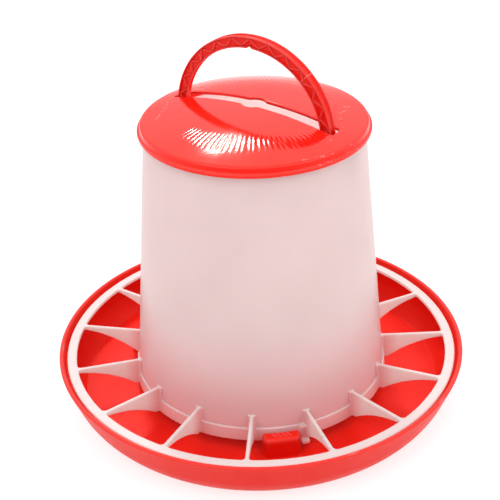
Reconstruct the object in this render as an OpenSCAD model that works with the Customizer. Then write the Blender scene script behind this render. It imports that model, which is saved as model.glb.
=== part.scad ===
// Gravity feeder for poultry: a feed pan, a tapered hopper with an anti-waste
// grid, a slotted lid and a carrying handle.
// Millimetres. Origin: centre of the pan's underside. +Z up, handle along X.

/* [Feed pan] */
// Outer diameter over the pan's lip
pan_d = 240; // [236:1:246]
// Height from the underside to the top of the lip
pan_h = 28; // [26:1:30]
// Wall and floor thickness of the pan
pan_wall = 1.8; // [1.5:0.1:2.2]
// Lean of the pan's side wall away from vertical, in degrees
wall_lean = 19; // [16:1:21]
// Radius of the belly that joins the side wall to the foot
belly_r = 30; // [28:1:32]
// Diameter of the feed spreading cone where it meets the floor
cone_d = 104; // [80:1:110]
// Height of the cone's tip above the underside
cone_h = 46; // [36:1:60]

/* [Feed grid] */
// Number of fins between the hoop and the outer ring, in threes
fin_count = 15; // [12:3:15]
// Angle of the first fin from the handle's line, in degrees
fin_start = 11.5; // [0:0.5:20]
// Thickness of a fin
fin_t = 1.9; // [1.5:0.1:2.5]
// Outer diameter of the flat outer ring
ring_d = 231; // [230:0.5:231.5]
// Width of the flat outer ring
ring_w = 5.5; // [4.5:0.5:7]
// Radius of the arch under each fin
arch_under_r = 59.4; // [57:0.2:62]

/* [Hopper tube] */
// Outer diameter at the lower edge
tube_foot_d = 148; // [147:0.5:148.5]
// Outer diameter at the upper edge
tube_top_d = 120.6; // [120:0.1:121]
// Height of the upper edge above the underside
tube_top_z = 166.8; // [166.4:0.1:167]
// Wall thickness
tube_wall = 1.6; // [1.2:0.1:1.8]

/* [Lid] */
// Outer diameter over the bead at the skirt's lower edge
lid_d = 127.2; // [126.8:0.1:128.5]
// Rise of the dome from its edge to its centre
dome_rise = 8; // [6:0.5:9]
// Wall thickness of the dome
lid_wall = 1.8; // [1.5:0.1:2.2]
// Width of the slot for the handle
slot_w = 8.6; // [8.6:0.1:10]
// Length of the slot
slot_l = 102; // [101:0.5:104]
// Diameter of the round widening at the slot's centre
slot_eye_d = 13.2; // [11:0.1:16]

/* [Handle] */
// Outer radius of the arch
arch_r = 49.4; // [48.5:0.1:49.6]
// Radial depth of the arch's section
arch_w = 6.25; // [5.5:0.05:6.5]
// Height of the arch's centre above the underside
arch_z = 167; // [166:0.5:168]
// Number of bars in the zigzag rib, with a peak at the crown
zigzag_bars = 26; // [18:4:34]
// Diameter of the two pivot pins
pin_d = 6; // [5:0.1:6]

/* [Hidden] */

round_fn = 180;
small_fn = 48;
eps = 0.05;
seat_gap = 0.2;

// Pan: the wall leans from the lip down to where the belly arc takes over
pan_r = pan_d / 2;
foot_h = 1;
foot_w = 4;
floor_top = foot_h + pan_wall;
lip_r = 1.2;
wall_skin = pan_wall / cos(wall_lean);
belly_start_z = 14;
belly_cx = lean_r(belly_start_z) - belly_r * cos(wall_lean);
belly_cz = belly_start_z + belly_r * sin(wall_lean);
belly_end = asin(belly_cz / belly_r);
belly_end_in = asin((belly_cz - floor_top) / (belly_r - pan_wall));
foot_r = belly_cx + belly_r * cos(belly_end);
cone_tip_r = 9;

// Grid: the ring and the fins share one level top
ring_r = ring_d / 2;
ring_t = 2.2;
grid_top = pan_h - 2.4;
ring_z = grid_top - ring_t;
fin_step = 360 / fin_count;
fin_tip_h = 3;
hoop_z = 9.2;
hoop_h = 8;
hoop_wall = 0.9;
hoop_r = tube_foot_d / 2 + 1;
hoop_lip = 1;
fin_gap = 0.3;
fin_low = hoop_z + 0.3;
arch_under_x = 115;
arch_under_z = grid_top - fin_tip_h
    - sqrt(arch_under_r * arch_under_r - pow(arch_under_x - ring_r + ring_w, 2));
fin_fillet_r = 2;
fin_bite = 0.08;
web_inset = 0.1;
fin_web_top = grid_top - 1;
pad_w = 4.2;
pad_t = 0.9;
pad_low = hoop_z + hoop_h - 1;
pad_top = grid_top - 0.4;
tube_foot_z = hoop_z + hoop_lip + eps;

// Twist lock: three lugs on the pan, three keys on the grid
lock_count = 3;
lug_w = 21.4;
lug_r_in = hoop_r + 1.4;
lug_depth = 6.8;
lug_top = 16.5;
lug_corner_r = 2.5;
lug_angle = fin_start - 2.5 * fin_step;
key_w = 4.6;
key_gap = 0.6;
key_foot_z = 5.3;
key_hook_h = 3.3;
key_stand = 0.9;
key_hook = 2.9;
key_root = hoop_z + 0.5;
key_top = hoop_z + hoop_h - 1;
key_angle = lug_angle + asin((lug_w / 2 + key_gap + key_w / 2) / hoop_r);
pocket_w = 4.2;
pocket_top = 9.2;
pocket_r = hoop_r + 3.6;
mark_count = 4;

// Hopper ears that hold the handle's pins
pivot_z = 159;
ear_x = arch_r + 1.3;
ear_w = 11;
ear_top = 163.5;
ear_low = 153.5;
ear_root = 148;
bore_r = pin_d / 2 + 0.05;
bore_end = 57.5;

// Lid
lid_r = lid_d / 2;
lid_z = 165.1;
bead_h = 2.2;
dome_r = 57.5;
dome_z = 171.6;
dome_sphere_r = (dome_r * dome_r + dome_rise * dome_rise) / (2 * dome_rise);
dome_cz = dome_z + dome_rise - dome_sphere_r;
skirt_in_r = 61;
plug_r = 58.2;
plug_t = 1.4;
plug_z = 164.2;

// Handle section, u outward along the radius and v towards the front
flange_front = 2.95;
flange_back = 2.64;
flange_u = 1.7;
web_back = 0.5;
web_front = 0.6;
rim_front = 3.28;
rim_u = 1.1;
groove_u = 0.5;
groove_half = 1.15;
leg_low = 154.8;
boss_r = 4.2;
pin_reach = 56.5;
rib_w = 1.1;
zigzag_start = 3;
rib_front = 2.3;
notch_w = 3.2;
notch_h = 1.7;

// Radius of the leaning outer wall of the pan at height z
function lean_r(z) = pan_r - (pan_h - z) * tan(wall_lean);

// Outer radius of the hopper tube at height z
function tube_r(z) = tube_foot_d / 2
    + (tube_top_d - tube_foot_d) / 2 * (z - tube_foot_z) / (tube_top_z - tube_foot_z);

// Points along an arc in the profile plane, from angle a to angle b
function arc(cx, cz, r, a, b, steps) =
    [for (i = [0 : steps]) let (t = a + (b - a) * i / steps) [cx + r * cos(t), cz + r * sin(t)]];

// Point i of the zigzag rib's edge, alternating between the inner rim and the
// outer flange; side is 1 for the outer edge of the rib and -1 for the inner
function zigzag_point(i, side) =
    let (r = i % 2 == 0 ? arch_r - arch_w + rim_u : arch_r - flange_u)
    let (t = zigzag_start + (180 - 2 * zigzag_start) * i / zigzag_bars)
    (r + side * rib_w / 2) * [cos(t), sin(t)];

module pan_profile() {
    lip_cx = pan_r - lip_r;
    lip_cz = pan_h - lip_r;
    seat_z = ring_z - seat_gap;
    seat_r = ring_r - 1.2;
    cone_r = cone_d / 2;
    polygon(concat(
        [[foot_r - foot_w, 0], [foot_r, 0]],
        arc(belly_cx, belly_cz, belly_r, -belly_end, -wall_lean, 8),
        arc(lip_cx, lip_cz, lip_r, -wall_lean, 180, 10),
        [
            [lean_r(seat_z) - wall_skin, seat_z],
            [seat_r, seat_z],
            [seat_r, seat_z - 1.5],
            [lean_r(belly_start_z + 2) - wall_skin, belly_start_z + 2]
        ],
        arc(belly_cx, belly_cz, belly_r - pan_wall, -wall_lean, -belly_end_in, 8),
        [
            [cone_r, floor_top],
            [cone_r - 4, floor_top + 1.5],
            [cone_tip_r, cone_h - 4],
            [cone_tip_r - 3, cone_h - 1],
            [0, cone_h],
            [0, cone_h - pan_wall],
            [cone_tip_r - 4, cone_h - pan_wall - 1],
            [cone_tip_r - 2, cone_h - pan_wall - 3.5],
            [cone_r - 5.4, foot_h + 1],
            [cone_r - 3, foot_h],
            [foot_r - foot_w - 0.6, foot_h]
        ]
    ));
}

// Rounded rectangle from x0 to x1, centred on y = 0
module rounded_plan(x0, x1, w, r) {
    translate([x0, -w / 2 + r])
        square([x1 - x0, w - 2 * r]);
    translate([x0 + r, -w / 2])
        square([x1 - x0 - 2 * r, w]);
    for (x = [x0 + r, x1 - r], y = [-w / 2 + r, w / 2 - r])
        translate([x, y])
            circle(r = r, $fn = small_fn);
}

// One locking lug, centred on the X axis
module lug() {
    difference() {
        union() {
            translate([0, 0, floor_top - 0.5])
                linear_extrude(lug_top - floor_top + 0.5)
                    rounded_plan(lug_r_in - 3, lug_r_in + lug_depth, lug_w, lug_corner_r);
            for (i = [0 : mark_count - 1])
                translate([lug_r_in + lug_depth / 2, (i - (mark_count - 1) / 2) * 2.6, lug_top])
                    rotate([0, 0, 40])
                        cube([3.6, 0.7, 0.8], center = true);
        }
        cylinder(r = lug_r_in, h = 2 * pan_h, $fn = round_fn);
        intersection() {
            translate([0, lug_w / 2 - pocket_w, 0])
                cube([pocket_r, pocket_w + 1, pocket_top]);
            cylinder(r = pocket_r, h = pan_h, $fn = round_fn);
        }
    }
}

module feed_pan() {
    color("red") {
        rotate_extrude($fn = round_fn)
            pan_profile();
        for (i = [0 : lock_count - 1])
            rotate([0, 0, lug_angle + i * 360 / lock_count])
                lug();
    }
}

// Upright plate on the X axis with a profile drawn in radius and height
module radial_plate(t) {
    rotate([90, 0, 0])
        linear_extrude(t, center = true)
            children();
}

// The fin's web, whose top is sunk in the thicker bar along the fin's edge
module fin_profile() {
    difference() {
        polygon([
            [tube_r(fin_web_top) + fin_gap, fin_web_top],
            [ring_r - ring_w + 1, fin_web_top],
            [ring_r - ring_w + 1, fin_low],
            [tube_r(fin_low) + fin_gap, fin_low]
        ]);
        translate([arch_under_x, arch_under_z])
            circle(r = arch_under_r, $fn = round_fn);
    }
}

// Corner fillets where a fin meets the ring, drawn flat on the X axis
module fin_fillets() {
    r = fin_fillet_r;
    x = ring_r - ring_w;
    for (s = [-1, 1])
        difference() {
            translate([x - r, s > 0 ? fin_t / 2 - 0.1 : -fin_t / 2 + 0.1 - r])
                square([r + 0.4, r]);
            translate([x - r, s * (fin_t / 2 + r - fin_bite)])
                circle(r = r, $fn = small_fn);
        }
}

module fin() {
    radial_plate(fin_t - 2 * web_inset)
        fin_profile();
    radial_plate(pad_w)
        polygon([
            [tube_r(pad_low) + fin_gap, pad_low],
            [tube_r(pad_top) + fin_gap, pad_top],
            [tube_r(pad_top) + fin_gap + pad_t, pad_top],
            [tube_r(pad_low) + fin_gap + pad_t, pad_low]
        ]);
}

// One key that slides under its lug when the hopper is turned
module key() {
    radial_plate(key_w)
        polygon([
            [hoop_r - 2.2, key_foot_z],
            [hoop_r + key_hook, key_foot_z],
            [hoop_r + key_hook, key_foot_z + key_hook_h - 1],
            [hoop_r + key_stand, key_foot_z + key_hook_h],
            [hoop_r + key_stand, key_top],
            [tube_r(key_top) + hoop_wall / 2, key_top],
            [tube_r(key_root) + hoop_wall / 2, key_root],
            [hoop_r - 2.2, key_root]
        ]);
}

// Flat plan of the outer ring and the bars along the fins' top edges
module grid_plan() {
    fin_x = tube_r(grid_top) + fin_gap;
    difference() {
        circle(r = ring_r, $fn = round_fn);
        circle(r = ring_r - ring_w, $fn = round_fn);
    }
    for (i = [0 : fin_count - 1])
        rotate([0, 0, fin_start + i * fin_step]) {
            translate([fin_x, -fin_t / 2])
                square([ring_r - ring_w + 1 - fin_x, fin_t]);
            fin_fillets();
        }
}

module feed_grid() {
    hoop_top = hoop_z + hoop_h;
    color("white") {
        translate([0, 0, ring_z])
            linear_extrude(ring_t)
                grid_plan();
        rotate_extrude($fn = round_fn)
            polygon([
                [tube_r(hoop_z) + hoop_wall, hoop_z],
                [tube_r(hoop_top - 0.3) + hoop_wall, hoop_top - 0.3],
                [tube_r(hoop_top) + hoop_wall - 0.3, hoop_top],
                [tube_r(hoop_top) + eps, hoop_top],
                [tube_r(hoop_z + hoop_lip) + eps, hoop_z + hoop_lip],
                [tube_foot_d / 2 - tube_wall, hoop_z + hoop_lip],
                [tube_foot_d / 2 - tube_wall, hoop_z]
            ]);
        for (i = [0 : fin_count - 1])
            rotate([0, 0, fin_start + i * fin_step])
                fin();
        for (i = [0 : lock_count - 1])
            rotate([0, 0, key_angle + i * 360 / lock_count])
                key();
    }
}

// Inward ear with the bore for one handle pin, on the +X side
module ear() {
    difference() {
        radial_plate(ear_w)
            polygon([
                [ear_x, ear_top],
                [tube_r(ear_top) - tube_wall / 2, ear_top],
                [tube_r(ear_root) - tube_wall / 2, ear_root],
                [ear_x, ear_low]
            ]);
        translate([ear_x - 1, 0, pivot_z])
            rotate([0, 90, 0])
                cylinder(r = bore_r, h = bore_end - ear_x + 1, $fn = small_fn);
    }
}

module hopper_tube() {
    color("mistyrose") {
        rotate_extrude($fn = round_fn)
            polygon([
                [tube_r(tube_foot_z) - tube_wall, tube_foot_z],
                [tube_r(tube_foot_z), tube_foot_z],
                [tube_r(tube_top_z), tube_top_z],
                [tube_r(tube_top_z) - tube_wall, tube_top_z]
            ]);
        ear();
        mirror([1, 0, 0])
            ear();
    }
}

module lid_profile() {
    dome_edge = asin(dome_r / dome_sphere_r);
    under_r = dome_sphere_r - lid_wall;
    plug_in_r = plug_r - plug_t;
    under_edge = asin(plug_in_r / under_r);
    polygon(concat(
        arc(0, dome_cz, dome_sphere_r, 90, 90 - dome_edge, 12),
        arc(dome_r + 1.4, dome_z - 0.9, 0.9, 115, 65, 3),
        arc(lid_r - 4.2, lid_z + 2.6, 3.1, 58, 5, 6),
        [
            [lid_r - 0.9, lid_z + bead_h],
            [lid_r, lid_z + bead_h - 0.5],
            [lid_r, lid_z + 0.3],
            [lid_r - 0.4, lid_z],
            [skirt_in_r, lid_z],
            [skirt_in_r, tube_top_z + seat_gap],
            [plug_r, tube_top_z + seat_gap],
            [plug_r, plug_z],
            [plug_in_r, plug_z]
        ],
        arc(0, dome_cz, under_r, 90 - under_edge, 90, 12)
    ));
}

module lid() {
    color("tomato")
        difference() {
            rotate_extrude($fn = round_fn)
                lid_profile();
            translate([-slot_l / 2, -slot_w / 2, dome_z - 8])
                cube([slot_l, slot_w, dome_rise + 16]);
            translate([0, 0, dome_z - 8])
                cylinder(d = slot_eye_d, h = dome_rise + 16, $fn = small_fn);
        }
}

// Section of the handle: outer flange, thin web and a front rim
module handle_section() {
    difference() {
        union() {
            translate([arch_r - flange_u, -flange_back])
                square([flange_u, flange_back + flange_front]);
            translate([arch_r - arch_w, -web_back])
                square([arch_w, web_back + web_front]);
            translate([arch_r - arch_w, -web_back])
                square([rim_u, web_back + rim_front]);
        }
        translate([arch_r - groove_u, -groove_half])
            square([1, 2 * groove_half]);
    }
}

// One leg with its boss and pivot pin, on the +X side
module leg() {
    translate([0, 0, leg_low])
        linear_extrude(arch_z - leg_low)
            mirror([0, 1, 0])
                handle_section();
    translate([arch_r - arch_w, 0, pivot_z])
        rotate([0, 90, 0]) {
            cylinder(r = boss_r, h = arch_w, $fn = small_fn);
            cylinder(d = pin_d, h = pin_reach - arch_r + arch_w, $fn = small_fn);
        }
}

// Raised zigzag rib along the recess in the front of the arch
module zigzag_rib() {
    linear_extrude(rib_front)
        polygon(concat(
            [for (i = [0 : zigzag_bars]) zigzag_point(i, 1)],
            [for (i = [zigzag_bars : -1 : 0]) zigzag_point(i, -1)]
        ));
}

module handle() {
    color("orangered") {
        translate([0, 0, arch_z])
            rotate([90, 0, 0])
                difference() {
                    union() {
                        rotate_extrude(angle = 180, $fn = round_fn)
                            handle_section();
                        zigzag_rib();
                    }
                    translate([0, arch_r - arch_w - 0.3, 0])
                        linear_extrude(20, center = true)
                            polygon([[-notch_w / 2, -1], [notch_w / 2, -1], [0, notch_h]]);
                }
        leg();
        mirror([1, 0, 0])
            leg();
    }
}

feed_pan();
feed_grid();
hopper_tube();
lid();
handle();
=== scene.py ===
"""Looks for the gravity poultry feeder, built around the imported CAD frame.

Shapes are worked out in millimetres and stored in metres, in the CAD's own frame: the origin is the centre of
the pan's underside, +Z is up and the carrying handle lies in the XZ plane.
"""

import math

import bmesh
import bpy
import numpy as np
from mathutils import Matrix, Vector


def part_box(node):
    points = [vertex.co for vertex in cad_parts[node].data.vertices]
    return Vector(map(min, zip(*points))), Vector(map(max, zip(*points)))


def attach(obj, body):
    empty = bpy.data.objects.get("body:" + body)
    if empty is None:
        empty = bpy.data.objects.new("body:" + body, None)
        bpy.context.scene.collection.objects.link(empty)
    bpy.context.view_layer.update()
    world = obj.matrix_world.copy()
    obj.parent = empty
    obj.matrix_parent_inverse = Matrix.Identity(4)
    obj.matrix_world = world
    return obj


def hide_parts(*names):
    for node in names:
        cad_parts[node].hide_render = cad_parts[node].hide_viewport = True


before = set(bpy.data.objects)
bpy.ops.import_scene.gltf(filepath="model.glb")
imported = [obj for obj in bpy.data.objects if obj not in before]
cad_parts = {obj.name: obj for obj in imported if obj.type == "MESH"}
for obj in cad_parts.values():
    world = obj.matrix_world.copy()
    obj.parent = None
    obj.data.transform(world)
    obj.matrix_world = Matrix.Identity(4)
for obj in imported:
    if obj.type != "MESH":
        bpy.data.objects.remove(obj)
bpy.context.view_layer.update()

MM = 0.001
TAU = 2 * math.pi

# Feed pan, mm
PAN_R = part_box("feed_pan")[1].x / MM
PAN_H = 28.0
PAN_WALL = 1.8
WALL_LEAN = math.radians(19)
BELLY_R = 30.0
BELLY_START = 14.0
FLOOR_TOP = 2.8
FOOT_H = 1.0
FOOT_W = 4.0
LIP_R = 1.2
CONE_R = 52.0
CONE_H = 46.0

# Feed grid, mm
FIN_COUNT = 15
FIN_START = math.radians(11.5)
FIN_STEP = TAU / FIN_COUNT
FIN_T = 1.9
RING_R = 115.5
RING_W = 5.5
RING_T = 2.2
GRID_TOP = PAN_H - 2.4
HOOP_Z = 9.2
HOOP_H = 8.0
HOOP_R = 75.0
HOOP_WALL = 0.9
PAD_W = 4.2
PAD_T = 0.9
FIN_TIP_H = 3.0
UNDER_R = 59.4
UNDER_X = 115.0
UNDER_Z = GRID_TOP - FIN_TIP_H - math.sqrt(UNDER_R ** 2 - (UNDER_X - RING_R + RING_W) ** 2)
SUNK = 0.3

# Hopper tube, mm
TUBE_FOOT_R = 74.0
TUBE_FOOT_Z = 10.25
TUBE_TOP_R = 60.3
TUBE_TOP_Z = 166.8
TUBE_WALL = 1.6
PIVOT_Z = 159.0
EAR_W = 11.0
EAR_TOP = 163.5
EAR_LOW = 153.5
EAR_ROOT = 148.0
EAR_GAP = 1.3
BORE_R = 3.05
BORE_END = 57.5

# Twist lock, mm
LOCK_COUNT = 3
LUG_ANGLE = FIN_START - 2.5 * FIN_STEP
LUG_W = 21.4
LUG_R_IN = HOOP_R + 1.4
LUG_R_OUT = LUG_R_IN + 6.8
LUG_TOP = 16.5
LUG_SLOPE = 1.0
LUG_FILLET = 1.3
LUG_EDGE = 1.8
HATCH_COUNT = 4
HATCH_STEP = 2.7
HATCH_SLANT = math.radians(40)
HATCH_H = 0.55
POCKET_W = 4.2
POCKET_DEPTH = 3.8
POCKET_TOP = 9.2
KEY_W = 4.6
KEY_FOOT_Z = 5.3
KEY_HOOK = 2.9
KEY_ANGLE = LUG_ANGLE + math.asin((LUG_W / 2 + 0.6 + KEY_W / 2) / HOOP_R)

# Lid, mm
LID_R = 63.6
LID_Z = 165.1
DOME_R = 57.5
DOME_Z = 171.6
DOME_RISE = 8.0
DOME_SPHERE = (DOME_R ** 2 + DOME_RISE ** 2) / (2 * DOME_RISE)
DOME_CZ = DOME_Z + DOME_RISE - DOME_SPHERE
LID_WALL = 1.8
SEAT_R = 61.0
SEAT_Z = 167.0
PLUG_R = 58.2
PLUG_IN_R = 56.8
PLUG_LOW = 164.2
PLUG_TOP = 169.2
RIPPLE_COUNT = 108
RIPPLE_H = 0.056
SLOT_W = 8.6
SLOT_L = 102.0
EYE_R = 6.6

# Handle, mm
ARCH_OUT = 49.4
ARCH_W = 6.25
ARCH_Z = 167.0
LEG_LOW = 154.8
FLANGE = 1.7
RIM = 0.8
RECESS = 1.9
ZIGZAG_BARS = 26
ZIGZAG_LEAD = math.radians(3)
ZIGZAG_H = 0.7
NOTCH_H = 1.7
NOTCH_HALF = 1.75
PIN_R = 3.0
PIN_END = 56.5
BOSS_R = 4.2
BOSS_EDGE_R = 3.9

# Floor and camera, metres
FLOOR_HALF = 6.0
FLOOR_Z = -0.0002
CAM_TURN = math.radians(34.1)
CAM_YAW = -0.00791
CAM_PITCH = 0.52679
CAM_ROLL = 0.03187
CAM_BACK = 0.56883
CAM_UP = 0.41870
CAM_LENS = 82.32


# ---------------------------------------------------------------- mesh helpers
def make(name, verts, faces):
    """A mesh object from points in millimetres, smooth shaded, with its normals facing out."""
    mesh = bpy.data.meshes.new(name)
    mesh.from_pydata([tuple(v) for v in np.asarray(verts, float) * MM], [], faces)
    bm = bmesh.new()
    bm.from_mesh(mesh)
    bmesh.ops.remove_doubles(bm, verts=bm.verts, dist=1e-7)
    bmesh.ops.recalc_face_normals(bm, faces=bm.faces)
    for f in bm.faces:
        f.smooth = True
    bm.to_mesh(mesh)
    bm.free()
    obj = bpy.data.objects.new(name, mesh)
    bpy.context.scene.collection.objects.link(obj)
    return obj


def skin(rows, wrap_rows=True, caps=False):
    """Points and faces of a skin over closed rows of equal length."""
    rows = np.asarray(rows, float)
    m, n = rows.shape[:2]
    faces = []
    for i in range(m if wrap_rows else m - 1):
        a, b = i * n, ((i + 1) % m) * n
        for j in range(n):
            k = (j + 1) % n
            faces.append((a + j, a + k, b + k, b + j))
    if caps:
        faces.append(tuple(range(n - 1, -1, -1)))
        faces.append(tuple(range((m - 1) * n, m * n)))
    return rows.reshape(-1, 3), faces


def rounded(corners, steps=5, support=0.35):
    """Closed outline through (x, y, radius) corners, each rounded by an arc between two support points."""
    out = []
    n = len(corners)
    for i in range(n):
        p = np.array(corners[i][:2], float)
        r = corners[i][2]
        if r <= 0:
            out.append(p)
            continue
        a = np.array(corners[i - 1][:2], float) - p
        b = np.array(corners[(i + 1) % n][:2], float) - p
        la, lb = np.linalg.norm(a), np.linalg.norm(b)
        a, b = a / la, b / lb
        half = math.acos(max(-1.0, min(1.0, float(a @ b)))) / 2
        if half > math.radians(89):
            out.append(p)
            continue
        cut = min(r / math.tan(half), 0.48 * la, 0.48 * lb)
        rr = cut * math.tan(half)
        c = p + (a + b) / np.linalg.norm(a + b) * rr / math.sin(half)
        s, e = p + a * cut - c, p + b * cut - c
        turn = math.atan2(s[0] * e[1] - s[1] * e[0], s @ e)
        if la > 2 * (cut + support):
            out.append(p + a * (cut + support))
        for k in range(steps + 1):
            t = turn * k / steps
            ct, st = math.cos(t), math.sin(t)
            out.append(c + np.array([s[0] * ct - s[1] * st, s[0] * st + s[1] * ct]))
        if lb > 2 * (cut + support):
            out.append(p + b * (cut + support))
    return out


def split_long(points, longest, closed=True):
    """The same outline with every stretch longer than `longest` cut into equal parts."""
    out = []
    n = len(points)
    for i in range(n if closed else n - 1):
        a, b = np.asarray(points[i], float), np.asarray(points[(i + 1) % n], float)
        parts = max(1, math.ceil(np.linalg.norm(b - a) / longest))
        out += [a + (b - a) * k / parts for k in range(parts)]
    if not closed:
        out.append(np.asarray(points[-1], float))
    return out


def arc(cx, cz, r, a, b, steps):
    """Points on an arc from angle a to angle b."""
    angles = [a + (b - a) * i / steps for i in range(steps + 1)]
    return [(cx + r * math.cos(t), cz + r * math.sin(t)) for t in angles]


def outward(outline):
    """Unit vectors pointing out of a closed outline that runs anticlockwise, one at each point."""
    tangent = np.roll(outline, -1, 0) - np.roll(outline, 1, 0)
    tangent /= np.linalg.norm(tangent, axis=1)[:, None]
    return np.stack([tangent[:, 1], -tangent[:, 0]], 1)


def round_rows(side, stations, steps):
    """Rings round the handle's pin line, one for each (distance from the middle, radius)."""
    t = np.arange(steps) * TAU / steps
    c, s = np.cos(t), np.sin(t)
    return [np.stack([np.full(steps, side * x), r * c, PIVOT_Z + r * s], 1) for x, r in stations]


def lathe(name, profile, segs, closed=True):
    """A turned shape round Z from an outline of (radius, height) points."""
    t = np.arange(segs) * TAU / segs
    rows = [np.stack([r * np.cos(t), r * np.sin(t), np.full(segs, z)], 1) for r, z in profile]
    return make(name, *skin(rows, wrap_rows=closed))


def prism(name, outline, low, high):
    """An outline in (x, y) drawn up from low to high, as a closed block."""
    rows = [[(x, y, z) for x, y in outline] for z in (low, high)]
    return make(name, *skin(rows, wrap_rows=False, caps=True))


def plate(name, outline, thick):
    """An outline in (radius, height) stood up on the XZ plane, `thick` wide across Y."""
    rows = [[(x, y, z) for x, z in outline] for y in (-thick / 2, thick / 2)]
    return make(name, *skin(rows, wrap_rows=False, caps=True))


def turned(obj, angle):
    """obj with its mesh turned round Z."""
    obj.data.transform(Matrix.Rotation(angle, 4, "Z"))
    return obj


def joined(name, objs):
    """One object holding all the given meshes."""
    bm = bmesh.new()
    for o in objs:
        bm.from_mesh(o.data)
    mesh = bpy.data.meshes.new(name)
    bm.to_mesh(mesh)
    bm.free()
    for o in objs:
        bpy.data.objects.remove(o)
    obj = bpy.data.objects.new(name, mesh)
    bpy.context.scene.collection.objects.link(obj)
    return obj


def settled(obj):
    """obj with its modifiers made part of its mesh."""
    dg = bpy.context.evaluated_depsgraph_get()
    mesh = bpy.data.meshes.new_from_object(obj.evaluated_get(dg))
    obj.modifiers.clear()
    obj.data = mesh
    for p in mesh.polygons:
        p.use_smooth = True
    return obj


def boolean(obj, other, kind):
    """obj after an exact boolean with other, which is used up."""
    mod = obj.modifiers.new("cut", "BOOLEAN")
    mod.operation, mod.solver, mod.object = kind, "EXACT", other
    settled(obj)
    bpy.data.objects.remove(other)
    return obj


def evened(obj):
    """Face-weighted normals, so that flat faces stay flat beside their small rounded edges."""
    mod = obj.modifiers.new("normals", "WEIGHTED_NORMAL")
    mod.keep_sharp = True
    mod.weight = 60
    return obj


def smoothstep(x, a, b):
    """0 up to a, 1 from b on, and a soft rise between them."""
    t = np.clip((np.asarray(x, float) - a) / (b - a), 0, 1)
    return t * t * (3 - 2 * t)


def tube_r(z):
    """Outer radius of the hopper tube at height z."""
    return TUBE_FOOT_R + (TUBE_TOP_R - TUBE_FOOT_R) * (z - TUBE_FOOT_Z) / (TUBE_TOP_Z - TUBE_FOOT_Z)


# ---------------------------------------------------------------- feed pan
def lean_r(z):
    """Outer radius of the pan's leaning wall at height z."""
    return PAN_R - (PAN_H - z) * math.tan(WALL_LEAN)


def pan_body():
    """The pan without its lugs, turned from one closed outline."""
    skin_w = PAN_WALL / math.cos(WALL_LEAN)
    bcx = lean_r(BELLY_START) - BELLY_R * math.cos(WALL_LEAN)
    bcz = BELLY_START + BELLY_R * math.sin(WALL_LEAN)
    end_out = math.asin(bcz / BELLY_R)
    end_in = math.asin((bcz - FLOOR_TOP) / (BELLY_R - PAN_WALL))
    foot_r = bcx + BELLY_R * math.cos(end_out)
    seat_z = GRID_TOP - RING_T - 0.2
    seat_r = RING_R - 1.2
    outer = [(foot_r - FOOT_W + 0.3, 0), (foot_r - 0.5, 0), (foot_r - 0.15, 0.06)]
    outer += arc(bcx, bcz, BELLY_R, -end_out + 0.012, -WALL_LEAN, 28)
    lip_cx, lip_cz = PAN_R - LIP_R, PAN_H - LIP_R
    lip_start = (lip_cx + LIP_R * math.cos(WALL_LEAN), lip_cz - LIP_R * math.sin(WALL_LEAN))
    outer += split_long([outer[-1], lip_start], 2.0, False)[1:-1]
    outer += arc(lip_cx, lip_cz, LIP_R, -WALL_LEAN, math.pi, 14)
    inner = rounded([
        (PAN_R - 2 * LIP_R, PAN_H - LIP_R, 0),
        (lean_r(seat_z) - skin_w, seat_z, 0.5),
        (seat_r, seat_z, 0.45),
        (seat_r, seat_z - 1.5, 0.5),
        (lean_r(BELLY_START + 2) - skin_w, BELLY_START + 2, 0),
    ], 4, 0.3)[1:-1]
    inner = split_long(inner, 2.0, False)
    inner += arc(bcx, bcz, BELLY_R - PAN_WALL, -WALL_LEAN, -end_in, 24)
    floor = rounded([
        (inner[-1][0], FLOOR_TOP, 0),
        (CONE_R, FLOOR_TOP, 6),
        (CONE_R - 4, FLOOR_TOP + 1.5, 4),
        (9, CONE_H - 4, 3),
        (6, CONE_H - 1, 2.5),
        (0, CONE_H, 0),
    ], 6, 0.6)[1:]
    under = rounded([
        (0, CONE_H - PAN_WALL, 0),
        (5, CONE_H - PAN_WALL - 1, 2),
        (7, CONE_H - PAN_WALL - 3.5, 3),
        (CONE_R - 5.4, FOOT_H + 1, 3),
        (CONE_R - 3, FOOT_H, 3),
        (foot_r - FOOT_W - 0.6, FOOT_H, 0.5),
        (foot_r - FOOT_W, 0.0, 0.3),
        (foot_r - FOOT_W + 1, 0.0, 0),
    ], 5, 0.4)[:-1]
    profile = outer + inner + split_long(floor, 6.0, False) + split_long(under, 6.0, False)
    return lathe("feed_pan_visual", profile, 384, closed=True)


def hatch(p, mid):
    """Height of the slanting ribs on a lug's top at the points p, from 0 to 1."""
    ca, sa = math.cos(HATCH_SLANT), math.sin(HATCH_SLANT)
    height = np.zeros(len(p))
    for i in range(HATCH_COUNT):
        d = p - np.array([mid[0], (i - (HATCH_COUNT - 1) / 2) * HATCH_STEP])
        along = d[:, 0] * ca + d[:, 1] * sa
        across = -d[:, 0] * sa + d[:, 1] * ca
        one = smoothstep(-np.abs(across), -0.75, -0.3) * smoothstep(-np.abs(along), -2.3, -1.7)
        height = np.maximum(height, one)
    return height


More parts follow.
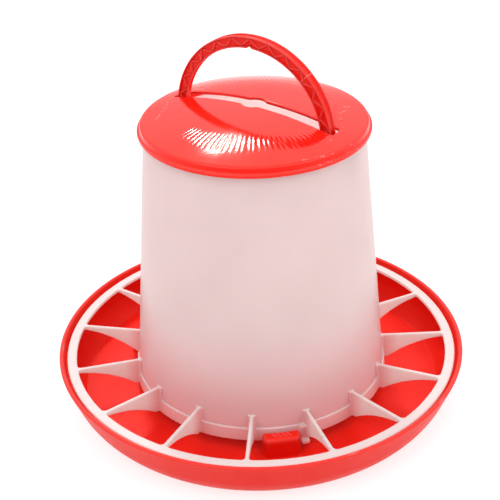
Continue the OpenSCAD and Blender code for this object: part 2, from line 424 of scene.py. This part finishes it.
def lug_block():
    """One locking lug on the X axis: a soft-edged block that flares into the floor, with ribs on top."""
    w = LUG_W / 2
    corners = [(LUG_R_IN, -w, 2.2), (LUG_R_OUT, -w + 0.4, 3.8), (LUG_R_OUT, w - 0.4, 3.8), (LUG_R_IN, w, 2.2)]
    outline = np.array(split_long(rounded(corners, 8, 0.5), 0.45))
    # the inner side follows the hoop
    bend = LUG_R_IN - np.sqrt(LUG_R_IN ** 2 - np.clip(np.abs(outline[:, 1]), 0, w) ** 2)
    inner_side = smoothstep(LUG_R_OUT - outline[:, 0], 2.0, 6.8)
    outline[:, 0] -= bend * inner_side * 0.9
    normal = outward(outline)
    rows = []

    def row(off, z):
        p = outline + normal * off
        rows.append(np.column_stack([p, np.full(len(p), z)]))

    row(LUG_FILLET + 0.2, FLOOR_TOP - 0.5)
    for k in range(7):
        a = k / 6 * math.pi / 2
        row(LUG_FILLET * (1 - math.sin(a)), FLOOR_TOP + LUG_FILLET * (1 - math.cos(a)))
    for z in np.linspace(FLOOR_TOP + LUG_FILLET, LUG_TOP - LUG_EDGE, 6)[1:-1]:
        row(0, z)
    for k in range(7):
        a = k / 6 * math.pi / 2
        row(-LUG_EDGE * (1 - math.cos(a)), LUG_TOP - LUG_EDGE + LUG_EDGE * math.sin(a))
    # the top closes in on a line along its middle
    top = rows[-1][:, :2].copy()
    mid = np.array([(LUG_R_IN + LUG_R_OUT) / 2, 0])
    span = LUG_W / 2 - 3.2
    spine = np.column_stack([np.full(len(top), mid[0]), np.clip(top[:, 1], -span, span)])
    for k in range(1, 15):
        p = spine + (top - spine) * (1 - k / 14 * 0.88)
        rows.append(np.column_stack([p, LUG_TOP + HATCH_H * hatch(p, mid)]))
    # the top leans down towards the outside
    for r in rows:
        lift = (r[:, 2] - FLOOR_TOP) / (LUG_TOP - FLOOR_TOP)
        r[:, 2] -= LUG_SLOPE * (r[:, 0] - LUG_R_IN) / (LUG_R_OUT - LUG_R_IN) * np.clip(lift, 0, 1)
    lug = make("lug", *skin(rows, wrap_rows=False, caps=True))
    # the top's last face is long and uneven, so it is cut into triangles before any boolean
    bm = bmesh.new()
    bm.from_mesh(lug.data)
    bmesh.ops.triangulate(bm, faces=[f for f in bm.faces if len(f.verts) > 4])
    bm.to_mesh(lug.data)
    bm.free()
    return lug


def feed_pan():
    """The pan with its three lugs, each cut away at one end where its key turns under it."""
    pan = pan_body()
    x0, x1 = LUG_R_IN - 3, HOOP_R + POCKET_DEPTH
    y0, y1 = LUG_W / 2 - POCKET_W, LUG_W / 2 + 6
    lugs = []
    for i in range(LOCK_COUNT):
        lug = lug_block()
        pocket = prism("pocket", [(x0, y0), (x1, y0), (x1, y1), (x0, y1)], FLOOR_TOP + 0.02, POCKET_TOP)
        boolean(lug, pocket, "DIFFERENCE")
        lugs.append(turned(lug, LUG_ANGLE + i * TAU / LOCK_COUNT))
    for lug in lugs:
        boolean(pan, lug, "UNION")
    return evened(pan)


# ---------------------------------------------------------------- feed grid
def corner_web(x, radius, toward, low, high):
    """Two small fillets between a fin and what it meets at x, which lies outward (1) or inward (-1)."""
    parts = []
    for s in (-1, 1):
        y = s * FIN_T / 2
        web = [(x + toward * 0.6, y - s * 0.3), (x + toward * 0.6, y + s * radius), (x, y + s * radius)]
        for a in np.linspace(0, math.pi / 2, 9)[1:]:
            web.append((x - toward * radius * (1 - math.cos(a)), y + s * radius * (1 - math.sin(a))))
        web.append((x - toward * radius, y - s * 0.3))
        parts.append(prism("web", web, low, high))
    return parts


def fin_parts(angle):
    """One fin with the arch under it, its pad on the tube and the fillets at both ends."""
    low, foot = HOOP_Z + 0.3, HOOP_Z + HOOP_H - 1
    ring_x = RING_R - RING_W
    tip = math.asin((UNDER_X - ring_x) / UNDER_R)
    root = math.acos((low - UNDER_Z) / UNDER_R)
    outer_x = ring_x + 1.5
    outline = [(tube_r(GRID_TOP) - SUNK, GRID_TOP), (outer_x, GRID_TOP), (outer_x, GRID_TOP - RING_T)]
    for a in np.linspace(tip, root, 26):
        outline.append((UNDER_X - UNDER_R * math.sin(a), UNDER_Z + UNDER_R * math.cos(a)))
    outline.append((tube_r(low) - SUNK, low))
    parts = [plate("fin", outline, FIN_T)]
    pad_top = GRID_TOP - 0.3
    pad = [(tube_r(z) + d, z) for z, d in ((foot, -SUNK), (foot, PAD_T), (pad_top, PAD_T), (pad_top, -SUNK))]
    parts.append(plate("pad", pad, PAD_W))
    parts += corner_web(ring_x, 2.2, 1, GRID_TOP - RING_T, GRID_TOP)
    parts += corner_web(tube_r(GRID_TOP) + 0.7, 1.3, -1, foot, GRID_TOP)
    return [turned(p, angle) for p in parts]


def key_part(angle):
    """One key: a hook that hangs from the hoop beside its lug."""
    root, top = HOOP_Z + 0.5, HOOP_Z + HOOP_H - 1
    back, tip, stand = HOOP_R - 2.2, HOOP_R + KEY_HOOK, HOOP_R + HOOP_WALL
    outline = [(back, KEY_FOOT_Z), (tip, KEY_FOOT_Z), (tip, KEY_FOOT_Z + 2.3), (stand, KEY_FOOT_Z + 3.3)]
    outline += [(stand, top), (tube_r(top) + 0.3, top), (tube_r(root) + 0.3, root), (back, root)]
    return turned(plate("key", outline, KEY_W), angle)


def feed_grid():
    """The ring, hoop, fins and keys, fused by a fine voxel remesh that rounds their edges."""
    segs = 300
    low, inner = GRID_TOP - RING_T, RING_R - RING_W
    ring = lathe("ring", [(RING_R, low), (RING_R, GRID_TOP), (inner, GRID_TOP), (inner, low)], segs)
    top = HOOP_Z + HOOP_H
    lip = HOOP_Z + 1.0
    bore = TUBE_FOOT_R - TUBE_WALL
    hoop = lathe("hoop", [
        (tube_r(HOOP_Z) + HOOP_WALL, HOOP_Z),
        (tube_r(top) + HOOP_WALL, top - 0.4),
        (tube_r(top) + HOOP_WALL - 0.4, top),
        (tube_r(top) - SUNK, top),
        (tube_r(lip) - SUNK, lip),
        (bore, lip),
        (bore, HOOP_Z),
    ], segs)
    parts = [ring, hoop]
    for i in range(FIN_COUNT):
        parts += fin_parts(FIN_START + i * FIN_STEP)
    for i in range(LOCK_COUNT):
        parts.append(key_part(KEY_ANGLE + i * TAU / LOCK_COUNT))
    grid = joined("feed_grid_visual", parts)
    remesh = grid.modifiers.new("fuse", "REMESH")
    remesh.mode, remesh.voxel_size, remesh.use_smooth_shade = "VOXEL", 0.42 * MM, True
    soft = grid.modifiers.new("soften", "SMOOTH")
    soft.factor, soft.iterations = 0.5, 4
    return settled(grid)


# ---------------------------------------------------------------- hopper tube
def ear_block(side):
    """Inward ear that holds one of the handle's pins."""
    w = EAR_W / 2
    x_in = ARCH_OUT + EAR_GAP
    outline = rounded([
        (x_in, EAR_TOP, 0.8),
        (tube_r(EAR_TOP) - TUBE_WALL / 2, EAR_TOP, 0),
        (tube_r(EAR_ROOT) - TUBE_WALL / 2, EAR_ROOT, 0),
        (x_in, EAR_LOW, 1.0),
    ], 4, 0.4)
    outline = np.array(outline)
    c = np.mean(outline, 0)
    half = ((w, -0.5), (w - 0.15, -0.15), (w - 0.5, 0))
    rows = []
    for y, grow in [(-y, grow) for y, grow in half] + list(half[::-1]):
        p = c + (outline - c) * (1 + grow / 7)
        rows.append([(q[0] * side, y, q[1]) for q in p])
    return make("ear", *skin(rows, wrap_rows=False, caps=True))


def pin_bore(side):
    """The round hole through an ear that a pin turns in."""
    rows = round_rows(side, [(ARCH_OUT, BORE_R), (BORE_END, BORE_R)], 48)
    return make("bore", *skin(rows, wrap_rows=False, caps=True))


def hopper_tube():
    """The tapered tube with its two ears, its wall very slightly uneven."""
    rng = np.random.default_rng(7)
    segs = 420
    corners = [
        (TUBE_FOOT_R - TUBE_WALL, TUBE_FOOT_Z, 0.3), (TUBE_FOOT_R, TUBE_FOOT_Z, 0.5),
        (TUBE_TOP_R, TUBE_TOP_Z, 0.5), (TUBE_TOP_R - TUBE_WALL, TUBE_TOP_Z, 0.4),
    ]
    profile = split_long(rounded(corners, 4, 0.5), 2.2)
    t = np.arange(segs) * TAU / segs
    # slight unevenness of the moulded wall, from a few long waves round and along it
    waves = []
    for _ in range(9):
        count, along = int(rng.integers(2, 9)), rng.uniform(0.02, 0.09)
        waves.append((count, along, rng.uniform(0, TAU), rng.uniform(0.010, 0.028)))
    rows = []
    for r, z in profile:
        fade = float(smoothstep(z, 26, 40)) * float(smoothstep(-z, -162, -150))
        bump = sum(a * np.sin(n * t + k * z + ph) for n, k, ph, a in waves) * fade
        rr = r + bump
        rows.append(np.stack([rr * np.cos(t), rr * np.sin(t), np.full(segs, z)], 1))
    tube = make("hopper_tube_visual", *skin(rows))
    for side in (1, -1):
        ear = ear_block(side)
        boolean(ear, pin_bore(side), "DIFFERENCE")
        boolean(tube, ear, "UNION")
    return evened(tube)


# ---------------------------------------------------------------- lid
def slot_outline(n):
    """The slot's outline with its round eye, as n points of equal spacing, starting on +X."""
    x_end, half, r_end, r_join = SLOT_L / 2, SLOT_W / 2, 1.6, 2.4
    # where the fillet between the slot's side and the eye touches each of them
    cy = half + r_join
    cx = math.sqrt((EYE_R + r_join) ** 2 - cy ** 2)
    touch = math.atan2(cy, cx)
    quarter = [(x_end, 0.0)]
    quarter += arc(x_end - r_end, half - r_end, r_end, 0, math.pi / 2, 10)
    quarter += [(cx, half)]
    quarter += arc(cx, cy, r_join, -math.pi / 2, -math.pi + touch, 10)
    quarter += arc(0, 0, EYE_R, touch, math.pi / 2, 12)
    q = np.array(quarter)
    full = np.concatenate([q, (q * [-1, 1])[::-1][1:], (q * [-1, -1])[1:], (q * [1, -1])[::-1][1:]])
    step = np.linalg.norm(np.diff(full, axis=0), axis=1)
    s = np.concatenate([[0], np.cumsum(step)])
    at = np.arange(n) * s[-1] / n
    return np.column_stack([np.interp(at, s, full[:, 0]), np.interp(at, s, full[:, 1])])


def dome_height(x, y, sphere, lift=0.0):
    """Height of the dome's outer or inner sphere at (x, y)."""
    return DOME_CZ + np.sqrt(sphere ** 2 - x ** 2 - y ** 2) + lift


def lid():
    """The domed lid as one closed skin, from the slot's edge over the dome and the skirt and back inside."""
    n = 960
    slot = slot_outline(n)
    out = outward(slot)
    t = np.arange(n) * TAU / n
    ring = np.stack([np.cos(t), np.sin(t)], 1)
    rng = np.random.default_rng(11)
    strength = rng.uniform(0.55, 1.25, RIPPLE_COUNT)
    sway = rng.uniform(-0.35, 0.35, RIPPLE_COUNT)

    def ripple(x, y):
        """Fine radial ripples left by the mould, strongest towards the dome's edge."""
        r = np.hypot(x, y)
        a = np.arctan2(y, x) % TAU
        u = a / TAU * RIPPLE_COUNT
        i = np.floor(u).astype(int) % RIPPLE_COUNT
        f = u - np.floor(u)
        amp = strength[i] * (1 - f) + strength[(i + 1) % RIPPLE_COUNT] * f
        off = sway[i] * (1 - f) + sway[(i + 1) % RIPPLE_COUNT] * f
        wave = np.sin(TAU * (u + off * 0.5) + 0.35 * np.sin(r / 3.1))
        band = smoothstep(r, 35, 41) * smoothstep(-r, -52, -48)
        return RIPPLE_H * amp * band * wave

    def top_row(p):
        z = dome_height(p[:, 0], p[:, 1], DOME_SPHERE) + ripple(p[:, 0], p[:, 1])
        return np.column_stack([p, z])

    rows = []
    edge = 0.7
    # the slot's rounded top edge, then the dome from the slot out to the shoulder
    for k in range(7):
        a = k / 6 * math.pi / 2
        d = edge * (1 - math.cos(a))
        p = slot + out * d
        z = dome_height(p[:, 0], p[:, 1], DOME_SPHERE) - edge * (1 - math.sin(a))
        rows.append(np.column_stack([p, z]))
    near = slot + out * 1.1
    far = ring * (DOME_R - 1.2)
    steps = 80
    for k in range(steps + 1):
        w = k / steps
        rows.append(top_row(near * (1 - w) + far * w))
    # shoulder, skirt, lower bead, seat and plug
    section = rounded([
        (DOME_R - 0.5, float(dome_height(DOME_R - 0.5, 0.0, DOME_SPHERE)), 0),
        (DOME_R + 3.0, float(dome_height(DOME_R + 3.0, 0.0, DOME_SPHERE)), 0.5),
        (DOME_R + 4.3, DOME_Z - 1.6, 0.8),
        (LID_R - 1.25, LID_Z + 2.5, 0.5),
        (LID_R, LID_Z + 1.9, 0.45),
        (LID_R, LID_Z, 0.55),
        (SEAT_R, LID_Z, 0.4),
        (SEAT_R, SEAT_Z, 0.3),
        (PLUG_R, SEAT_Z, 0.3),
        (PLUG_R, PLUG_LOW, 0.4),
        (PLUG_IN_R, PLUG_LOW, 0.4),
        (PLUG_IN_R, PLUG_TOP, 0.8),
        (PLUG_IN_R - 1.4, PLUG_TOP + 0.7, 0),
    ], 5, 0.3)[:-1]
    for r, z in split_long(section, 1.2, False):
        rows.append(np.column_stack([ring * r, np.full(n, z)]))
    # the dome's underside, back to the slot's lower edge
    under = DOME_SPHERE - LID_WALL
    last = ring * 55.0
    for k in range(13):
        w = k / 12
        p = last * (1 - w) + (slot + out * 0.4) * w
        rows.append(np.column_stack([p, dome_height(p[:, 0], p[:, 1], under)]))
    for k in range(1, 4):
        a = k / 3 * math.pi / 2
        p = slot + out * 0.4 * (1 - math.sin(a))
        rows.append(np.column_stack([p, dome_height(p[:, 0], p[:, 1], under, 0.4 * (1 - math.cos(a)))]))
    return evened(make("lid_visual", *skin(rows)))


# ---------------------------------------------------------------- handle
def handle_section():
    """The handle's section as dense (u, v) points, and which of them lie on the floor of its front recess.

    u runs outward along the radius and v towards the front.
    """
    r_in, r_out = ARCH_OUT - ARCH_W, ARCH_OUT
    body = rounded([
        (r_out, -2.64, 0.35), (r_out, -1.15, 0.18), (r_out - 0.5, -1.0, 0.18),
        (r_out - 0.5, 1.3, 0.18), (r_out, 1.45, 0.18), (r_out, 2.95, 0.4),
        (r_out - RIM, 2.95, 0.2), (r_out - RIM, RECESS, 0.15),
        (r_in + RIM, RECESS, 0.15), (r_in + RIM, 3.0, 0.2), (r_in, 3.0, 0.3), (r_in, -0.5, 0.3),
        (r_out - FLANGE, -0.5, 0.3), (r_out - FLANGE, -2.64, 0.35),
    ], 3, 0.2)
    section = []
    floor = []
    for i, start in enumerate(body):
        a, b = np.array(start), np.array(body[(i + 1) % len(body)])
        is_floor = abs(a[1] - RECESS) < 1e-6 and abs(b[1] - RECESS) < 1e-6
        parts = max(1, math.ceil(np.linalg.norm(b - a) / (0.2 if is_floor else 0.8)))
        for k in range(parts):
            section.append(a + (b - a) * k / parts)
            floor.append(is_floor and k > 0)
    return np.array(section), np.array(floor)


def zigzag_rise(a, u):
    """Height of the zigzag rib, from 0 to 1, at the radii u on the arch's angle a."""
    edge_in, edge_out = ARCH_OUT - ARCH_W + RIM, ARCH_OUT - RIM
    sweep = math.pi - 2 * ZIGZAG_LEAD
    w = (a - ZIGZAG_LEAD) / sweep * ZIGZAG_BARS
    if not -0.2 < w < ZIGZAG_BARS + 0.2:
        return np.zeros(len(u))
    i = int(np.clip(math.floor(w), 0, ZIGZAG_BARS - 1))
    q = np.stack([u * math.cos(a), u * math.sin(a)], 1)
    best = np.full(len(u), 1e9)
    for j in (i - 1, i, i + 1):
        if not 0 <= j < ZIGZAG_BARS:
            continue
        t0, t1 = (ZIGZAG_LEAD + sweep * (j + e) / ZIGZAG_BARS for e in (0, 1))
        u0, u1 = (edge_in, edge_out) if j % 2 == 0 else (edge_out, edge_in)
        p0 = np.array([u0 * math.cos(t0), u0 * math.sin(t0)])
        p1 = np.array([u1 * math.cos(t1), u1 * math.sin(t1)])
        d = p1 - p0
        s = np.clip(((q - p0) @ d) / (d @ d), 0, 1)
        best = np.minimum(best, np.linalg.norm(q - (p0 + s[:, None] * d), axis=1))
    return smoothstep(-best, -0.78, -0.42)


def arch_row(a, section, floor):
    """The section at the arch's angle a, with the zigzag rib and the hanging notch."""
    r_in = ARCH_OUT - ARCH_W
    u, v = section[:, 0].copy(), section[:, 1].copy()
    v = np.where(floor, v + ZIGZAG_H * zigzag_rise(a, u), v)
    depth = NOTCH_H * max(0.0, 1 - abs(math.cos(a) * r_in) / NOTCH_HALF)
    if math.sin(a) > 0.9 and depth > 0:
        u = np.maximum(u, r_in + depth)
    return np.column_stack([u * math.cos(a), -v, ARCH_Z + u * math.sin(a)])


def leg_row(side, z, section):
    """The section at height z of the leg on one side."""
    return np.column_stack([section[:, 0] * side, -section[:, 1], np.full(len(section), z)])


def handle():
    """The arch and its two legs swept in one skin, with a boss and a pin on each leg."""
    section, floor = handle_section()
    heights = np.linspace(LEG_LOW, ARCH_Z, 30)[:-1]
    rows = [leg_row(1, z, section) for z in heights]
    rows += [arch_row(a, section, floor) for a in np.linspace(0, math.pi, 900)]
    rows += [leg_row(-1, z, section) for z in np.linspace(ARCH_Z, LEG_LOW, 30)[1:]]
    # soften the two leg ends
    for idx, inner in ((0, 1), (-1, -2)):
        end = rows[idx].copy()
        c = end.mean(0)
        end[:, :2] = c[:2] + (end[:, :2] - c[:2]) * 0.93
        rows[idx] = end
        rows[inner][:, 2] = rows[idx][0, 2] + 0.3
    arch = make("handle_visual", *skin(rows, wrap_rows=False, caps=True))
    r_in, r_out = ARCH_OUT - ARCH_W, ARCH_OUT
    stations = [
        (r_in - 0.12, BOSS_EDGE_R), (r_in + 0.25, BOSS_R),
        (r_out - 0.25, BOSS_R), (r_out + 0.12, BOSS_EDGE_R), (r_out + 0.2, PIN_R),
        (PIN_END - 0.5, PIN_R), (PIN_END - 0.15, PIN_R - 0.2), (PIN_END, PIN_R - 0.6),
    ]
    for side in (1, -1):
        pin = make("pin", *skin(round_rows(side, stations, 64), wrap_rows=False, caps=True))
        boolean(arch, pin, "UNION")
    return evened(arch)


# ---------------------------------------------------------------- materials
def nodes_of(name):
    """A new node material, with its tree and its main shader."""
    mat = bpy.data.materials.new(name)
    mat.use_nodes = True
    nt = mat.node_tree
    bsdf = nt.nodes["Principled BSDF"]
    return mat, nt, bsdf


def add(nt, kind, **values):
    """A shader node with its inputs or properties set by name."""
    node = nt.nodes.new(kind)
    for key, value in values.items():
        if key in node.inputs:
            node.inputs[key].default_value = value
        else:
            setattr(node, key, value)
    return node


def noise_node(nt, coords, scale, detail=3.0, rough=0.5, stretch=None):
    """A noise value over coords, which may be stretched along an axis."""
    source = coords
    if stretch:
        mapping = add(nt, "ShaderNodeMapping")
        mapping.inputs["Scale"].default_value = stretch
        nt.links.new(coords, mapping.inputs["Vector"])
        source = mapping.outputs["Vector"]
    node = add(nt, "ShaderNodeTexNoise")
    node.inputs["Scale"].default_value = scale
    node.inputs["Detail"].default_value = detail
    node.inputs["Roughness"].default_value = rough
    nt.links.new(source, node.inputs["Vector"])
    return node.outputs["Fac"]


def ranged(nt, value, lo, hi, from_lo=0.3, from_hi=0.7):
    """value moved from the range from_lo..from_hi to lo..hi, and held inside it."""
    node = add(nt, "ShaderNodeMapRange")
    node.inputs["From Min"].default_value = from_lo
    node.inputs["From Max"].default_value = from_hi
    node.inputs["To Min"].default_value = lo
    node.inputs["To Max"].default_value = hi
    nt.links.new(value, node.inputs["Value"])
    return node.outputs["Result"]


def mixed(nt, fac, a, b):
    """A colour between a and b, each of them a socket or a plain (r, g, b)."""
    node = add(nt, "ShaderNodeMix", data_type="RGBA")
    for sock, value in (("A_Color", a), ("B_Color", b)):
        target = next(s for s in node.inputs if s.identifier == sock)
        if isinstance(value, tuple):
            target.default_value = (*value, 1)
        else:
            nt.links.new(value, target)
    factor = next(s for s in node.inputs if s.identifier == "Factor_Float")
    if isinstance(fac, float):
        factor.default_value = fac
    else:
        nt.links.new(fac, factor)
    return next(s for s in node.outputs if s.identifier == "Result_Color")


def plastic(name, deep, pale, rough, grain, translucent=0.0, spec=0.25, tint=(1, 1, 1),
            low=None, core=None, top=None):
    """Moulded polypropylene: cloudy colour, flow marks, fine grain, rubbed edges and hairline scratches.

    low and core are (colour, from, to): a second colour low down or near the axis, gone at `to` metres; both
    stand for painted pink light bounced up from the red pan. top is a second colour for upward faces: painted
    shading by face direction.
    """
    mat, nt, bsdf = nodes_of(name)
    coords = add(nt, "ShaderNodeTexCoord").outputs["Object"]
    cloud = noise_node(nt, coords, 28.0, 4.0, 0.55)
    flow = noise_node(nt, coords, 40.0, 5.0, 0.6, stretch=(1.0, 1.0, 0.25))
    colour = mixed(nt, ranged(nt, cloud, 0.0, 1.0), deep, pale)
    geometry = add(nt, "ShaderNodeNewGeometry")
    edge = ranged(nt, geometry.outputs["Pointiness"], 0.0, 0.35, 0.505, 0.56)
    worn = tuple(min(1.0, c * 0.75 + 0.25) for c in pale)
    colour = mixed(nt, edge, colour, worn)
    # painted light: a second colour low down, for pink light bounced up from the red pan
    if low:
        height = add(nt, "ShaderNodeSeparateXYZ")
        nt.links.new(coords, height.inputs["Vector"])
        colour = mixed(nt, ranged(nt, height.outputs["Z"], 0.0, 1.0, low[1], low[2]), low[0], colour)
    # painted light: a second colour near the axis, for pink light bounced up from the red pan
    if core:
        across = add(nt, "ShaderNodeVectorMath", operation="MULTIPLY")
        nt.links.new(coords, across.inputs[0])
        across.inputs[1].default_value = (1, 1, 0)
        radius = add(nt, "ShaderNodeVectorMath", operation="LENGTH")
        nt.links.new(across.outputs["Vector"], radius.inputs[0])
        colour = mixed(nt, ranged(nt, radius.outputs["Value"], 0.0, 1.0, core[1], core[2]), core[0], colour)
    # painted shading: upward faces take a second colour, set by which way they face
    if top:
        facing = add(nt, "ShaderNodeSeparateXYZ")
        nt.links.new(geometry.outputs["Normal"], facing.inputs["Vector"])
        colour = mixed(nt, ranged(nt, facing.outputs["Z"], 0.0, 1.0, 0.5, 0.85), colour, top)
    nt.links.new(colour, bsdf.inputs["Base Color"])
    scratch = noise_node(nt, coords, 420.0, 2.0, 0.6, stretch=(1.0, 0.06, 0.3))
    flowed = ranged_rgb(nt, flow, rough[0], rough[1])
    scratched = ranged_rgb(nt, scratch, rough[0], rough[1] * 1.15)
    rub = mixed(nt, 0.35, flowed, scratched)
    nt.links.new(rub, bsdf.inputs["Roughness"])
    fine = noise_node(nt, coords, 900.0, 3.0, 0.6)
    bump = add(nt, "ShaderNodeBump")
    bump.inputs["Strength"].default_value = grain
    bump.inputs["Distance"].default_value = 0.0003
    nt.links.new(fine, bump.inputs["Height"])
    nt.links.new(bump.outputs["Normal"], bsdf.inputs["Normal"])
    bsdf.inputs["IOR"].default_value = 1.49
    bsdf.inputs["Specular IOR Level"].default_value = spec
    bsdf.inputs["Specular Tint"].default_value = (*tint, 1)
    if translucent > 0:
        out = nt.nodes["Material Output"]
        back = add(nt, "ShaderNodeBsdfTranslucent")
        nt.links.new(colour, back.inputs["Color"])
        mix = add(nt, "ShaderNodeMixShader")
        mix.inputs["Fac"].default_value = translucent
        nt.links.new(bsdf.outputs[0], mix.inputs[1])
        nt.links.new(back.outputs[0], mix.inputs[2])
        nt.links.new(mix.outputs[0], out.inputs["Surface"])
    return mat


def ranged_rgb(nt, value, lo, hi):
    """ranged() as a grey colour."""
    out = ranged(nt, value, lo, hi)
    combine = add(nt, "ShaderNodeCombineColor")
    for channel in ("Red", "Green", "Blue"):
        nt.links.new(out, combine.inputs[channel])
    return combine.outputs["Color"]


def dress(obj, mat, body, node):
    """obj in its material, standing for a CAD node and riding on that node's body."""
    obj.data.materials.clear()
    obj.data.materials.append(mat)
    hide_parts(node)
    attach(obj, body)


WARM = (1.0, 0.86, 0.72)
red = plastic(
    "red_polypropylene", (0.74, 0.009, 0.004), (0.78, 0.014, 0.006), (0.34, 0.48), 0.04,
    spec=0.16, tint=WARM)
lid_red = plastic(
    "lid_polypropylene", (0.80, 0.007, 0.003), (0.84, 0.012, 0.005), (0.08, 0.13), 0.02,
    spec=0.36, tint=WARM)
handle_red = plastic(
    "handle_polypropylene", (0.68, 0.006, 0.003), (0.74, 0.010, 0.004), (0.20, 0.34), 0.06,
    spec=0.22, tint=WARM)
# the grid is painted pinker near the axis, for light bounced from the red pan, and its upward faces take a
# darker painted shade
grid_white = plastic(
    "grid_polypropylene", (0.94, 0.89, 0.86), (0.96, 0.92, 0.89), (0.22, 0.36), 0.05, translucent=0.25,
    core=((0.93, 0.62, 0.61), 0.0755, 0.083), top=(0.76, 0.67, 0.655))
# the tube is painted pinker low down, for light bounced up from the red pan
tube_white = plastic(
    "tube_polypropylene", (0.87, 0.75, 0.74), (0.90, 0.79, 0.78), (0.14, 0.26), 0.03, translucent=0.40,
    low=((0.97, 0.68, 0.68), 0.008, 0.075))

dress(feed_pan(), red, "pan", "feed_pan")
dress(feed_grid(), grid_white, "hopper", "feed_grid")
dress(hopper_tube(), tube_white, "hopper", "hopper_tube")
dress(lid(), lid_red, "lid", "lid")
dress(handle(), handle_red, "handle", "handle")


# ---------------------------------------------------------------- floor, light and camera
def studio():
    """A wide, pale floor that glows a little, just under the pan."""
    corners = [(x * FLOOR_HALF, y * FLOOR_HALF, FLOOR_Z) for x, y in ((-1, -1), (1, -1), (1, 1), (-1, 1))]
    mesh = bpy.data.meshes.new("floor")
    mesh.from_pydata(corners, [], [(0, 1, 2, 3)])
    floor = bpy.data.objects.new("floor", mesh)
    bpy.context.scene.collection.objects.link(floor)
    mat, nt, bsdf = nodes_of("pale_floor")
    coords = add(nt, "ShaderNodeTexCoord").outputs["Object"]
    cloud = noise_node(nt, coords, 6.0, 4.0, 0.5)
    nt.links.new(mixed(nt, cloud, (0.34, 0.34, 0.34), (0.36, 0.36, 0.36)), bsdf.inputs["Base Color"])
    bsdf.inputs["Roughness"].default_value = 0.9
    bsdf.inputs["Specular IOR Level"].default_value = 0.1
    bsdf.inputs["Emission Color"].default_value = (1, 1, 1, 1)
    bsdf.inputs["Emission Strength"].default_value = 0.72
    mesh.materials.append(mat)


def sky(turn):
    """A white surround, brightest high up behind the object and dim low in front of it."""
    world = bpy.data.worlds.new("studio")
    bpy.context.scene.world = world
    world.use_nodes = True
    nt = world.node_tree
    background = nt.nodes["Background"]
    background.inputs["Color"].default_value = (1, 1, 1, 1)
    direction = add(nt, "ShaderNodeTexCoord").outputs["Generated"]
    height = add(nt, "ShaderNodeSeparateXYZ")
    nt.links.new(direction, height.inputs["Vector"])
    lean = add(nt, "ShaderNodeVectorMath", operation="DOT_PRODUCT")
    nt.links.new(direction, lean.inputs[0])
    lean.inputs[1].default_value = turn @ Vector((0, 1, 0))
    behind = ranged(nt, lean.outputs["Value"], 0.55, 1.0, -0.6, 0.3)
    both = add(nt, "ShaderNodeMath", operation="MULTIPLY")
    nt.links.new(ranged(nt, height.outputs["Z"], 0.7, 2.0, 0.2, 0.85), both.inputs[0])
    nt.links.new(behind, both.inputs[1])
    # the camera itself sees it plain white
    seen = add(nt, "ShaderNodeMapRange")
    nt.links.new(add(nt, "ShaderNodeLightPath").outputs["Is Camera Ray"], seen.inputs["Value"])
    nt.links.new(both.outputs["Value"], seen.inputs["To Min"])
    nt.links.new(seen.outputs["Result"], background.inputs["Strength"])


def softbox(name, position, target, size, watts, size_y=None):
    """A rectangular area lamp at position, facing target."""
    data = bpy.data.lights.new(name, "AREA")
    data.shape = "RECTANGLE"
    data.size, data.size_y = size, size_y or size
    data.energy = watts
    obj = bpy.data.objects.new(name, data)
    obj.location = position
    obj.rotation_mode = "QUATERNION"
    obj.rotation_quaternion = (Vector(target) - Vector(position)).to_track_quat("-Z", "Y")
    bpy.context.scene.collection.objects.link(obj)
    return obj


def camera():
    """The photo's camera. It also gives the turn about Z from its own axes to the frame's."""
    turn = Matrix.Rotation(CAM_TURN, 3, "Z")
    level = math.cos(CAM_PITCH)
    fwd = Vector((math.sin(CAM_YAW) * level, math.cos(CAM_YAW) * level, -math.sin(CAM_PITCH)))
    right = Vector((math.cos(CAM_YAW), -math.sin(CAM_YAW), 0))
    down = fwd.cross(right)
    rolled_right = math.cos(CAM_ROLL) * right + math.sin(CAM_ROLL) * down
    rolled_down = -math.sin(CAM_ROLL) * right + math.cos(CAM_ROLL) * down
    axes = Matrix((turn @ rolled_right, turn @ -rolled_down, turn @ -fwd)).transposed().to_4x4()
    place = turn @ Vector((0, -CAM_BACK, CAM_UP))
    data = bpy.data.cameras.new("camera")
    data.lens, data.sensor_width = CAM_LENS, 36
    cam = bpy.data.objects.new("camera", data)
    cam.matrix_world = Matrix.Translation(place) @ axes
    bpy.context.scene.collection.objects.link(cam)
    bpy.context.scene.camera = cam
    return turn


studio()
turn = camera()
sky(turn)


def at(x, y, z):
    """A place given relative to the camera: x to its right, y away from it."""
    return turn @ Vector((x, y, z))


centre = Vector((0, 0, 0.1))
softbox("key", at(-0.7, -0.7, 1.2), centre, 0.9, 5)
softbox("fill", at(0.9, -0.5, 0.7), centre, 0.8, 3)
softbox("streak", at(-0.16, 0.85, 1.15), centre, 0.20, 6, size_y=0.12)
inner = softbox("inner", (0, 0, 0.15), at(0, 0.06, 0.138), 0.03, 0.034)
inner.visible_camera = False
bpy.context.scene.view_settings.view_transform = "Standard"
